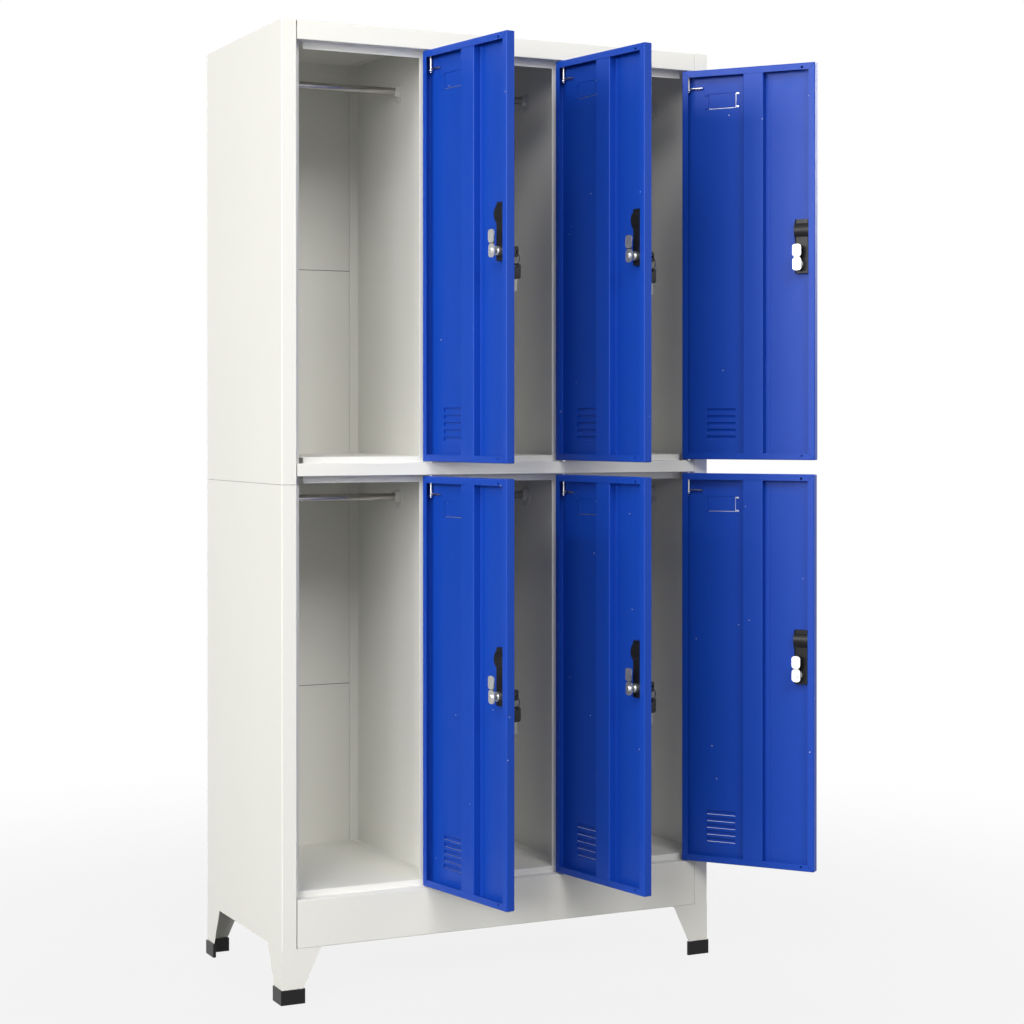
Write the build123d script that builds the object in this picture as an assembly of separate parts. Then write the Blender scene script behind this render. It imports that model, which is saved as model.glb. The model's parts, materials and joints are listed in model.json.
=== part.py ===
from build123d import *
import math
import os

os.makedirs("parts", exist_ok=True)

# School locker: a flat-pack steel cabinet, three columns by two rows, six hinged doors.
# Millimetres, +Z up, -Y is the front.  The origin is on the floor, at the middle of the
# carcass footprint.  The doors are written standing open, each at its own angle.

# ---------------------------------------------------------------- overall sizes
WIDTH = 900.0
DEPTH = 440.0
HEIGHT = 1800.0
LEG_HEIGHT = 100.0
SHEET = 0.8
BEND_INNER_RADIUS = 0.8
SIDE_SEAM_GAP = 1.0
CUT_PAST = 1.0

# ---------------------------------------------------------------- carcass frame sizes
SIDE_FLANGE = 29.0
STOP_SETBACK = 24.0
SIDE_STOP = 13.0
REAR_FLANGE = 20.0
RAIL_DROP = 35.0
UPSTAND = 11.5
UNDER_LIP = 13.0
LIP_END_GAP = 21.0
FLOOR_RAIL_HEIGHT = 88.5
BASE_RETURN = 23.0
TRAY_FLANGE = 20.0
SPLICE_FLANGE = 62.0
DECK_EDGE_PLAY = 1.2
RAIL_END_PLAY = 1.0
TOP_RAIL_LAP = 3.2
FLANGE_END_PLAY = 4.0

# ---------------------------------------------------------------- partitions and back
PARTITION_OFFSET = 14.0
PARTITION_STOP = 41.0
PARTITION_FLANGE = 20.0
PARTITION_FLANGE_INSET = 10.0
PARTITION_NOTCH = 2.0
LATCH_SLOT_PLAY = 2.5
LATCH_SLOT_CLEARANCE = 0.5
BACK_PLAY = 1.0
BACK_SEAM_GAP = 1.2
SPLICE_OVERLAP = 12.0

# ---------------------------------------------------------------- legs and feet
LEG_SHEET = 1.2
LEG_TOP_WIDTH = 76.0
LEG_FOOT_WIDTH = 42.0
LEG_TOP_FLANGE = 24.0
CAP_HEIGHT = 27.0
CAP_WALL = 2.5
CAP_FLOOR = 3.0
BOLT_DIAMETER = 6.0
BOLT_HOLE_PLAY = 0.4
BOLT_HEAD_DIAMETER = 12.0
BOLT_HEAD_HEIGHT = 3.5
BOLT_LENGTH = 12.0
NUT_WIDTH = 10.0
NUT_HEIGHT = 5.0

# ---------------------------------------------------------------- hanging rods
ROD_DIAMETER = 15.0
ROD_WALL = 1.0
ROD_DROP = 83.0
ROD_SETBACK = 220.0
SOCKET_DIAMETER = 37.0
SOCKET_PLATE = 2.5
SOCKET_CUP_DEPTH = 9.0
SOCKET_WALL = 3.2
SOCKET_PLAY = 0.1
SOCKET_DROP = 4.0

# ---------------------------------------------------------------- doors
DOOR_GAP = 2.0
DOOR_THICKNESS = 18.0
DOOR_LIP = 13.0
DOOR_BEND = 2.0
HINGE_INSET = 9.0
HINGE_DEPTH = 5.0
MITRE_WIDTH = 0.5
BUFFER_HOLE = 5.0
BUFFER_FROM_FREE_EDGE = 26.5
BUFFER_FROM_END = 8.5
STIFFENER_WIDTH = 42.0
STIFFENER_FOOT = 10.0
STIFFENER_FROM_HINGE_EDGE = 149.5
STIFFENER_END_PLAY = 2.2
LOUVRE_COUNT = 5
LOUVRE_LENGTH = 62.0
LOUVRE_HEIGHT = 9.0
LOUVRE_PITCH = 13.5
LOUVRE_DEPTH = 3.0
LOUVRE_FACE_HEIGHT = 2.7
LOUVRE_CROWN_DEPTH = 2.3
LOUVRE_CROWN_HEIGHT = 6.3
LOUVRE_FIRST = 39.0
LOUVRE_FROM_HINGE_EDGE = 77.0
CARD_WIDTH = 60.0
CARD_HEIGHT = 32.0
CARD_FROM_HINGE_EDGE = 79.0
CARD_BELOW_TOP = 61.0
CARD_RIB = 3.0
CARD_RIB_RISE = 1.2
CARD_TAB_LENGTH = 6.0
CARD_TAB_RISE = 2.0
CARD_TAB_WIDTH = 3.0
HANDLE_CUTOUT_PLAY = 0.1

# ---------------------------------------------------------------- hinge pins
PIN_DIAMETER = 5.0
PIN_FIT = 0.075
PIN_REACH = 3.0
PIN_LENGTH_BELOW_TOP = 41.0
PIN_ARM_BELOW_TOP = 34.0
PIN_ARM_LENGTH = 30.0
PIN_ARM_DIAMETER = 4.0
PIN_TAB_BELOW_TOP = 38.0
PIN_TAB_THICKNESS = 1.5
PIN_TAB_MARGIN = 1.0
PIN_COLLAR_DIAMETER = 8.0
PIN_COLLAR_HEIGHT = 1.5
PEG_HEAD_HEIGHT = 3.0
PEG_HEAD_DIAMETER = 6.0

# ---------------------------------------------------------------- handle and lock
LOCK_FROM_FREE_EDGE = 33.2
LOCK_HEIGHT = 381.5
HANDLE_WIDTH = 30.0
HANDLE_LIP_PLAY = 0.6
HANDLE_BELOW_LOCK = 17.5
HANDLE_ABOVE_LOCK = 87.5
HANDLE_BEZEL = 4.5
HANDLE_BEZEL_THICKNESS = 2.0
HANDLE_WALL = 2.0
HANDLE_DEPTH = 12.0
HANDLE_CORNER = 4.0
HANDLE_BULGE = 4.0
HANDLE_BULGE_RADIUS = 24.0
HANDLE_BULGE_BELOW_TOP = 21.0
HANDLE_BLOCK_ABOVE_LOCK = 16.5
PLUG_DIAMETER = 12.0
PLUG_FIT = 0.05
PLUG_FLANGE_DIAMETER = 17.0
PLUG_FLANGE_THICKNESS = 5.0
CAM_STANDOFF = 26.2
CAM_THICKNESS = 2.5
CAM_STEP = 0.8
CAM_WIDTH = 17.5
CAM_CORNER = 6.0
CAM_PAD_LENGTH = 24.6
CAM_ARM_LENGTH = 24.0
CAM_REACH = 38.0
CAM_NECK_WIDTH = 12.0
CAM_NECK_THICKNESS = 1.5
CAM_NUT_WIDTH = 8.0
CAM_NUT_HEIGHT = 3.0
KEY_BLADE_THICKNESS = 2.0
KEY_BLADE_HEIGHT = 7.0
KEY_BLADE_LENGTH = 22.0
KEY_SLOT_PLAY = 0.1
KEY_BOW_WIDTH = 20.0
KEY_BOW_LENGTH = 28.0
KEY_BOW_THICKNESS = 5.0
KEY_BOW_CORNER = 5.0
KEY_RING_HOLE = 5.0

# ---------------------------------------------------------------- doors standing open
OPEN_UPPER_RIGHT = 127.9
OPEN_LOWER_RIGHT = 127.2
PASSING_CLEARANCE = 1.0

# ---------------------------------------------------------------- worked-out positions
RIGHT = WIDTH / 2
FRONT = -DEPTH / 2
REAR = DEPTH / 2
STOP_FACE = FRONT + STOP_SETBACK
WALL_INNER = RIGHT - SHEET
OPENING_HALF = RIGHT - SIDE_FLANGE
LIP_HALF = OPENING_HALF - LIP_END_GAP
BACK_OUTER = REAR - SHEET
BACK_INNER = BACK_OUTER - SHEET
FLOOR_DECK = LEG_HEIGHT + FLOOR_RAIL_HEIGHT + UPSTAND
LEVEL_PITCH = (HEIGHT - FLOOR_DECK) / 2
SHELF_DECK = FLOOR_DECK + LEVEL_PITCH
DOOR_HEIGHT = LEVEL_PITCH - RAIL_DROP + UPSTAND - 2 * DOOR_GAP
DOOR_WIDTH = (2 * OPENING_HALF - 6 * DOOR_GAP) / 3
DOOR_PITCH = DOOR_WIDTH + 2 * DOOR_GAP
SEAM_HEIGHT = (LEG_HEIGHT + HEIGHT) / 2
BACK_SEAM_LOW = (LEG_HEIGHT + SEAM_HEIGHT) / 2
BACK_SEAM_HIGH = (SEAM_HEIGHT + HEIGHT) / 2
HINGE_LINE = FRONT + HINGE_DEPTH
ROD_Y = FRONT + ROD_SETBACK

# Door coordinates: the hinge axis is x = y = 0 and the door's bottom edge is z = 0.
HINGE_EDGE = HINGE_INSET
FREE_EDGE = HINGE_INSET - DOOR_WIDTH
SKIN_OUTER = -HINGE_DEPTH
SKIN_INNER = SKIN_OUTER + SHEET
LIP_INNER = SKIN_OUTER + DOOR_THICKNESS
LIP_UNDER = LIP_INNER - SHEET
LOCK_X = FREE_EDGE + LOCK_FROM_FREE_EDGE
HANDLE_X = FREE_EDGE + DOOR_LIP + HANDLE_LIP_PLAY + HANDLE_WIDTH / 2
HANDLE_BOTTOM = LOCK_HEIGHT - HANDLE_BELOW_LOCK
HANDLE_TOP = LOCK_HEIGHT + HANDLE_ABOVE_LOCK
HANDLE_BACK = SKIN_OUTER + HANDLE_DEPTH

# A door with a neighbour on its right stands no wider open than lets that neighbour's free
# edge swing past its louvres.  The right-hand doors can stand wider.
FREE_EDGE_REACH = math.hypot(FREE_EDGE, LIP_INNER)
ROOM_TO_PASS = FREE_EDGE_REACH + HINGE_DEPTH + LOUVRE_DEPTH + PASSING_CLEARANCE
OPEN_TO_PASS = 180 - math.degrees(math.asin(ROOM_TO_PASS / DOOR_PITCH))


def span(x_low, x_high, y_low, y_high, z_low, z_high):
    """A plain block between six planes."""
    size = (x_high - x_low, y_high - y_low, z_high - z_low)
    middle = ((x_low + x_high) / 2, (y_low + y_high) / 2, (z_low + z_high) / 2)
    return Pos(*middle) * Box(*size)


def left_normal(start, end):
    """Unit vector to the left of the line from start to end."""
    run = (end[0] - start[0], end[1] - start[1])
    length = math.hypot(*run)
    return (-run[1] / length, run[0] / length)


def folded_face(points, thickness=SHEET, inner_radius=BEND_INNER_RADIUS):
    """Section of folded sheet metal.

    The points trace one face of the sheet and the metal lies to the left of the trace.
    Every fold gets its true inner and outer bend radius.
    """
    other = []
    for index, point in enumerate(points):
        normals = []
        if index > 0:
            normals.append(left_normal(points[index - 1], point))
        if index < len(points) - 1:
            normals.append(left_normal(point, points[index + 1]))
        total = (sum(n[0] for n in normals), sum(n[1] for n in normals))
        factor = thickness
        if len(normals) == 2:
            factor = thickness / (1 + normals[0][0] * normals[1][0] + normals[0][1] * normals[1][1])
        other.append((point[0] + total[0] * factor, point[1] + total[1] * factor))
    face = make_face(Polyline(*points, *reversed(other), close=True)).face()
    wide = []
    tight = []
    for index in range(1, len(points) - 1):
        before = left_normal(points[index - 1], points[index])
        after = left_normal(points[index], points[index + 1])
        turns_left = before[0] * after[1] - before[1] * after[0] > 0
        wide.append(points[index] if turns_left else other[index])
        tight.append(other[index] if turns_left else points[index])
    for corners, radius in ((wide, inner_radius + thickness), (tight, inner_radius)):
        chosen = [
            vertex
            for vertex in face.vertices()
            if any(math.hypot(vertex.X - c[0], vertex.Y - c[1]) < 0.01 for c in corners)
        ]
        if chosen:
            face = face.fillet_2d(radius, chosen)
    return face


def along_z(face, z_low, z_high):
    """Stand a plan section up between two heights."""
    return Pos(0, 0, z_low) * extrude(face, z_high - z_low, dir=(0, 0, 1))


def along_x(face, x_low, x_high):
    """Run a (y, z) section from x_low to x_high."""
    placed = Plane.YZ * face
    return Pos(x_low, 0, 0) * extrude(placed, x_high - x_low, dir=(1, 0, 0))


def along_y(face, y_low, y_high):
    """Run an (x, z) section from y_low to y_high."""
    placed = Plane.XZ * face
    return Pos(0, y_low, 0) * extrude(placed, y_high - y_low, dir=(0, 1, 0))


def mirrored_x(shape):
    return mirror(shape, about=Plane.YZ)


def mirrored_y(shape):
    return mirror(shape, about=Plane.XZ)


def upright_rod(x, y, z_low, z_high, diameter):
    middle = (z_low + z_high) / 2
    return Pos(x, y, middle) * Cylinder(diameter / 2, z_high - z_low)


def rod_along_x(x_low, x_high, y, z, diameter):
    middle = (x_low + x_high) / 2
    return Pos(middle, y, z) * Rot(0, 90, 0) * Cylinder(diameter / 2, x_high - x_low)


def rod_along_y(x, y_low, y_high, z, diameter):
    middle = (y_low + y_high) / 2
    return Pos(x, middle, z) * Rot(90, 0, 0) * Cylinder(diameter / 2, y_high - y_low)


def hinge_x(column):
    """World x of a column's hinge axis; columns are numbered from the left."""
    hinge_edge_x = -OPENING_HALF + (column + 1) * DOOR_PITCH - DOOR_GAP
    return hinge_edge_x - HINGE_INSET


def partition_face_x(column):
    """World x of the partition face on the right of a column."""
    gap_centre = -OPENING_HALF + (column + 1) * DOOR_PITCH
    return gap_centre + PARTITION_OFFSET


def pin_holes(z_low, z_high):
    """Holes in a rail for the three hinge pins that turn in it."""
    hole = PIN_DIAMETER + 2 * PIN_FIT
    low = z_low - CUT_PAST
    high = z_high + CUT_PAST
    return Compound([upright_rod(hinge_x(c), HINGE_LINE, low, high, hole) for c in range(3)])


def write(name, shape):
    export_step(shape, f"parts/{name}.step")


# ---------------------------------------------------------------- side panels
# Each side is one folded sheet per half: wall, front flange, a return as deep as the door
# stands, then the narrow stop the door closes against, and a flange at the rear.
side_section = folded_face(
    [
        (-RIGHT + REAR_FLANGE, REAR),
        (-RIGHT, REAR),
        (-RIGHT, FRONT),
        (-OPENING_HALF, FRONT),
        (-OPENING_HALF, STOP_FACE),
        (-OPENING_HALF + SIDE_STOP, STOP_FACE),
    ]
)
side_upper_left = along_z(side_section, SEAM_HEIGHT + SIDE_SEAM_GAP / 2, HEIGHT)
side_upper_left -= span(-WALL_INNER, 0, FRONT + SHEET, BACK_OUTER, HEIGHT - SHEET, HEIGHT + CUT_PAST)

side_lower_left = along_z(side_section, LEG_HEIGHT, SEAM_HEIGHT - SIDE_SEAM_GAP / 2)
base_return = span(
    -RIGHT + SHEET,
    -RIGHT + BASE_RETURN,
    FRONT + FLANGE_END_PLAY,
    REAR - FLANGE_END_PLAY,
    LEG_HEIGHT,
    LEG_HEIGHT + SHEET,
)
side_lower_left += base_return

# ---------------------------------------------------------------- legs
# A tapered angle leg cut from thicker sheet: two plates meeting at the cabinet's corner and
# a flange on top that bolts up against the returns round the base.
def leg_plate_outline(width_sign):
    """Tapered plate, drawn from the corner at zero outwards."""
    foot = CAP_FLOOR
    outline = [
        (0, foot),
        (LEG_FOOT_WIDTH, foot),
        (LEG_FOOT_WIDTH, CAP_HEIGHT),
        (LEG_TOP_WIDTH, LEG_HEIGHT),
        (0, LEG_HEIGHT),
    ]
    return make_face(Polyline(*[(width_sign * x, z) for x, z in outline], close=True))


BOLT_ON_SIDE = (-RIGHT + LEG_TOP_FLANGE / 2, FRONT + LEG_TOP_WIDTH - BOLT_HEAD_DIAMETER)
BOLT_ON_RAIL = (-RIGHT + LEG_TOP_WIDTH - BOLT_HEAD_DIAMETER, FRONT + LEG_TOP_FLANGE / 2)


def bolt_holes():
    """Both bolt holes of the front-left leg, through its flange and the base return."""
    diameter = BOLT_DIAMETER + BOLT_HOLE_PLAY
    low = LEG_HEIGHT - 2 * LEG_SHEET
    high = LEG_HEIGHT + 2 * SHEET
    return [upright_rod(x, y, low, high, diameter) for x, y in (BOLT_ON_SIDE, BOLT_ON_RAIL)]


front_plate = Pos(-RIGHT, FRONT, 0) * along_y(leg_plate_outline(1), 0, LEG_SHEET)
side_plate = Pos(-RIGHT, FRONT, 0) * along_x(leg_plate_outline(1), 0, LEG_SHEET)
leg = front_plate + side_plate
leg += span(
    -RIGHT, -RIGHT + LEG_TOP_WIDTH, FRONT, FRONT + LEG_TOP_FLANGE, LEG_HEIGHT - LEG_SHEET, LEG_HEIGHT
)
leg += span(
    -RIGHT, -RIGHT + LEG_TOP_FLANGE, FRONT, FRONT + LEG_TOP_WIDTH, LEG_HEIGHT - LEG_SHEET, LEG_HEIGHT
)
for hole in bolt_holes():
    leg -= hole
    side_lower_left -= hole
    side_lower_left -= mirrored_y(hole)

write("side_upper_left", side_upper_left)
write("side_upper_right", mirrored_x(side_upper_left))
write("side_lower_left", side_lower_left)
write("side_lower_right", mirrored_x(side_lower_left))

write("leg_front_left", leg)
write("leg_front_right", mirrored_x(leg))
write("leg_rear_left", mirrored_y(leg))
write("leg_rear_right", mirrored_x(mirrored_y(leg)))

# ---------------------------------------------------------------- foot caps
# A moulded cap pushed over the bottom of each leg, following its angle shape.
def cap_bar(length):
    """One arm of the cap, corner at zero, running along +x."""
    reach = length + CAP_WALL
    thick = LEG_SHEET + CAP_WALL
    return span(-CAP_WALL, reach, -CAP_WALL, thick, 0, CAP_HEIGHT)


cap = cap_bar(LEG_FOOT_WIDTH) + span(
    -CAP_WALL, LEG_SHEET + CAP_WALL, -CAP_WALL, LEG_FOOT_WIDTH + CAP_WALL, 0, CAP_HEIGHT
)
cap = fillet(cap.edges().filter_by(Axis.Z), CAP_WALL / 2)
cap -= span(0, LEG_FOOT_WIDTH, 0, LEG_SHEET, CAP_FLOOR, CAP_HEIGHT + CUT_PAST)
cap -= span(0, LEG_SHEET, 0, LEG_FOOT_WIDTH, CAP_FLOOR, CAP_HEIGHT + CUT_PAST)
cap = Pos(-RIGHT, FRONT, 0) * cap
foot_caps = [cap, mirrored_x(cap), mirrored_y(cap), mirrored_x(mirrored_y(cap))]
write("foot_caps", Compound(foot_caps))

# ---------------------------------------------------------------- leg bolts
def leg_bolt(x, y):
    """Pan-head bolt from below with its nut above the base return."""
    under_head = LEG_HEIGHT - LEG_SHEET
    head = upright_rod(x, y, under_head - BOLT_HEAD_HEIGHT, under_head, BOLT_HEAD_DIAMETER)
    shank = upright_rod(x, y, under_head, under_head + BOLT_LENGTH, BOLT_DIAMETER)
    nut_base = LEG_HEIGHT + SHEET
    hexagon = RegularPolygon(NUT_WIDTH / 2, 6, major_radius=False)
    nut = Pos(x, y, nut_base) * extrude(hexagon, NUT_HEIGHT)
    return head + shank + nut


front_bolts = [leg_bolt(*BOLT_ON_SIDE), leg_bolt(*BOLT_ON_RAIL)]
left_bolts = front_bolts + [mirrored_y(bolt) for bolt in front_bolts]
write("leg_bolts", Compound(left_bolts + [mirrored_x(bolt) for bolt in left_bolts]))

# ---------------------------------------------------------------- shelf trays
# Top, middle shelf and floor are trays.  The front edge of each is folded into the rail
# between the doors with a narrow lip behind them; the ends and rear are turned down.
def tray_deck(top, flange, y_low):
    """Deck with its two ends turned down against the side panels."""
    section = folded_face(
        [(WALL_INNER, top - flange), (WALL_INNER, top), (-WALL_INNER, top), (-WALL_INNER, top - flange)]
    )
    deck = along_y(section, y_low, BACK_INNER)
    # the turned-down ends stop short of the front and rear flanges of the sides
    for side in (-1, 1):
        inner = side * (WALL_INNER - SHEET - BEND_INNER_RADIUS)
        outer = side * RIGHT
        low = min(inner, outer)
        high = max(inner, outer)
        below = top - flange - CUT_PAST
        under_deck = top - SHEET
        deck -= span(low, high, y_low - CUT_PAST, STOP_FACE + FLANGE_END_PLAY, below, under_deck)
        deck -= span(low, high, BACK_INNER - FLANGE_END_PLAY, REAR, below, under_deck)
    return deck


def rear_turn(top):
    return [(BACK_INNER, top - TRAY_FLANGE), (BACK_INNER, top)]


def tray(points_between_lips, points_rail, top, flange, y_low):
    """Join the narrow lipped section, the rail and the full-width deck."""
    body = along_x(folded_face(rear_turn(top) + points_between_lips), -LIP_HALF, LIP_HALF)
    rail_half = OPENING_HALF - RAIL_END_PLAY
    body += along_x(folded_face(points_rail), -rail_half, rail_half)
    body += tray_deck(top, flange, y_low)
    return body


top_rail = [
    (FRONT, HEIGHT),
    (FRONT, HEIGHT - RAIL_DROP),
    (STOP_FACE, HEIGHT - RAIL_DROP),
]
top_panel = tray(
    top_rail + [(STOP_FACE, HEIGHT - RAIL_DROP - UNDER_LIP)],
    [(FRONT + TOP_RAIL_LAP, HEIGHT)] + top_rail,
    HEIGHT,
    TRAY_FLANGE,
    FRONT + DECK_EDGE_PLAY + SHEET,
)
top_panel -= pin_holes(HEIGHT - RAIL_DROP, HEIGHT - RAIL_DROP + SHEET)
write("top_panel", top_panel)

shelf_rail = [
    (STOP_FACE, SHELF_DECK - UPSTAND),
    (FRONT, SHELF_DECK - UPSTAND),
    (FRONT, SHELF_DECK - RAIL_DROP),
    (STOP_FACE, SHELF_DECK - RAIL_DROP),
]
middle_shelf = tray(
    [(STOP_FACE, SHELF_DECK)] + shelf_rail + [(STOP_FACE, SHELF_DECK - RAIL_DROP - UNDER_LIP)],
    shelf_rail,
    SHELF_DECK,
    SPLICE_FLANGE,
    STOP_FACE + SHEET,
)
middle_shelf -= pin_holes(SHELF_DECK - RAIL_DROP, SHELF_DECK - UPSTAND)
write("middle_shelf", middle_shelf)

floor_rail = [
    (STOP_FACE, FLOOR_DECK - UPSTAND),
    (FRONT, FLOOR_DECK - UPSTAND),
    (FRONT, LEG_HEIGHT),
    (FRONT + BASE_RETURN, LEG_HEIGHT),
]
bottom_panel = tray(
    [(STOP_FACE, FLOOR_DECK)] + floor_rail,
    floor_rail,
    FLOOR_DECK,
    TRAY_FLANGE,
    STOP_FACE + SHEET,
)
bottom_panel -= pin_holes(FLOOR_DECK - UPSTAND - SHEET, FLOOR_DECK - UPSTAND)
for hole in bolt_holes():
    bottom_panel -= hole
    bottom_panel -= mirrored_x(hole)
write("bottom_panel", bottom_panel)

# ---------------------------------------------------------------- partitions
# Folded sheet with a wide stop flange at the front, a narrow flange at the rear and
# flanges screwed to the decks above and below, all turned to the left.  The top corners
# are notched where the deck above is bent down.  A slot behind the stop flange lets the cam
# of the door on the right turn in behind it.
def partition(column, z_low, z_high):
    face_x = partition_face_x(column)
    section = folded_face(
        [
            (face_x + SHEET - PARTITION_STOP, STOP_FACE + SHEET),
            (face_x + SHEET, STOP_FACE + SHEET),
            (face_x + SHEET, BACK_INNER - SHEET),
            (face_x + SHEET - PARTITION_FLANGE, BACK_INNER - SHEET),
        ]
    )
    body = along_z(section, z_low, z_high)
    for low in (z_low, z_high - SHEET):
        body += span(
            face_x + SHEET - PARTITION_FLANGE,
            face_x + SHEET,
            STOP_FACE + PARTITION_FLANGE_INSET,
            BACK_INNER - PARTITION_FLANGE_INSET,
            low,
            low + SHEET,
        )
    for y_low, y_high in (
        (STOP_FACE, STOP_FACE + SHEET + PARTITION_NOTCH),
        (BACK_INNER - SHEET - PARTITION_NOTCH, BACK_INNER),
    ):
        body -= span(
            face_x + SHEET - PARTITION_STOP - CUT_PAST,
            face_x + SHEET + CUT_PAST,
            y_low,
            y_high,
            z_high - PARTITION_NOTCH,
            z_high + CUT_PAST,
        )
    lock_z = z_low - UPSTAND + DOOR_GAP + LOCK_HEIGHT
    cam_y = FRONT + CAM_STANDOFF
    body -= span(
        face_x - CUT_PAST,
        face_x + SHEET + CUT_PAST,
        cam_y - LATCH_SLOT_CLEARANCE,
        cam_y + CAM_STEP + CAM_THICKNESS + LATCH_SLOT_PLAY,
        lock_z - CAM_WIDTH / 2 - LATCH_SLOT_PLAY,
        lock_z + CAM_REACH + LATCH_SLOT_PLAY,
    )
    return body


for column, side_name in ((0, "left"), (1, "right")):
    write(f"partition_upper_{side_name}", partition(column, SHELF_DECK, HEIGHT - SHEET))
    write(f"partition_lower_{side_name}", partition(column, FLOOR_DECK, SHELF_DECK - SHEET))

# ---------------------------------------------------------------- back panels
# Four flat sheets, one above another; a narrow strip behind each seam laps the next sheet.
back_half = WALL_INNER - BACK_PLAY
splice_half = RIGHT - REAR_FLANGE - BACK_PLAY
back_levels = [LEG_HEIGHT, BACK_SEAM_LOW, SEAM_HEIGHT, BACK_SEAM_HIGH, HEIGHT]
for index in range(4):
    low = back_levels[index] + BACK_SEAM_GAP * (index > 0)
    high = back_levels[index + 1]
    if index == 0:
        section = folded_face(
            [(BACK_OUTER - BASE_RETURN, low), (BACK_OUTER, low), (BACK_OUTER, high)]
        )
        panel = along_x(section, -back_half, back_half)
        # the return stops clear of the side panels' returns
        for side in (-1, 1):
            inner = side * (RIGHT - BASE_RETURN - BACK_PLAY)
            outer = side * RIGHT
            panel -= span(
                min(inner, outer),
                max(inner, outer),
                REAR - BASE_RETURN - CUT_PAST,
                BACK_INNER,
                low - CUT_PAST,
                low + SHEET + BEND_INNER_RADIUS,
            )
        for hole in bolt_holes():
            panel -= mirrored_y(hole)
            panel -= mirrored_x(mirrored_y(hole))
    else:
        panel = span(-back_half, back_half, BACK_INNER, BACK_OUTER, low, high)
    if index < 3:
        panel += span(
            -splice_half, splice_half, BACK_OUTER, REAR, high - SPLICE_OVERLAP, high + SPLICE_OVERLAP
        )
    write(f"back_panel_{index + 1}", panel)

# ---------------------------------------------------------------- hanging rods and sockets
# Each tube drops into two moulded sockets that are open at the top.
def socket(wall_x, facing, rod_z):
    """Socket on a wall at wall_x; facing is +1 when it looks towards +x."""
    plate_z = rod_z - SOCKET_DROP
    plate_end = wall_x + facing * SOCKET_PLATE
    cup_end = plate_end + facing * SOCKET_CUP_DEPTH
    plate = rod_along_x(min(wall_x, plate_end), max(wall_x, plate_end), ROD_Y, plate_z, SOCKET_DIAMETER)
    inner = ROD_DIAMETER + 2 * SOCKET_PLAY
    outer = inner + 2 * SOCKET_WALL
    low = min(plate_end, cup_end)
    high = max(plate_end, cup_end)
    cup = rod_along_x(low, high, ROD_Y, rod_z, outer)
    cup += span(low, high, ROD_Y - outer / 2, ROD_Y + outer / 2, rod_z, rod_z + outer / 2)
    cup -= rod_along_x(low, high, ROD_Y, rod_z, inner)
    cup -= span(low, high, ROD_Y - inner / 2, ROD_Y + inner / 2, rod_z, rod_z + outer)
    return plate + cup


bays = [
    (-WALL_INNER, partition_face_x(0)),
    (partition_face_x(0) + SHEET, partition_face_x(1)),
    (partition_face_x(1) + SHEET, WALL_INNER),
]
rods = []
sockets = []
for deck in (SHELF_DECK, HEIGHT):
    rod_z = deck - ROD_DROP
    for left_wall, right_wall in bays:
        rod_low = left_wall + SOCKET_PLATE
        rod_high = right_wall - SOCKET_PLATE
        tube = rod_along_x(rod_low, rod_high, ROD_Y, rod_z, ROD_DIAMETER)
        bore = ROD_DIAMETER - 2 * ROD_WALL
        tube -= rod_along_x(rod_low - CUT_PAST, rod_high + CUT_PAST, ROD_Y, rod_z, bore)
        rods.append(tube)
        sockets.append(socket(left_wall, 1, rod_z))
        sockets.append(socket(right_wall, -1, rod_z))
write("hanging_rods", Compound(rods))
write("rod_sockets", Compound(sockets))

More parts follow.
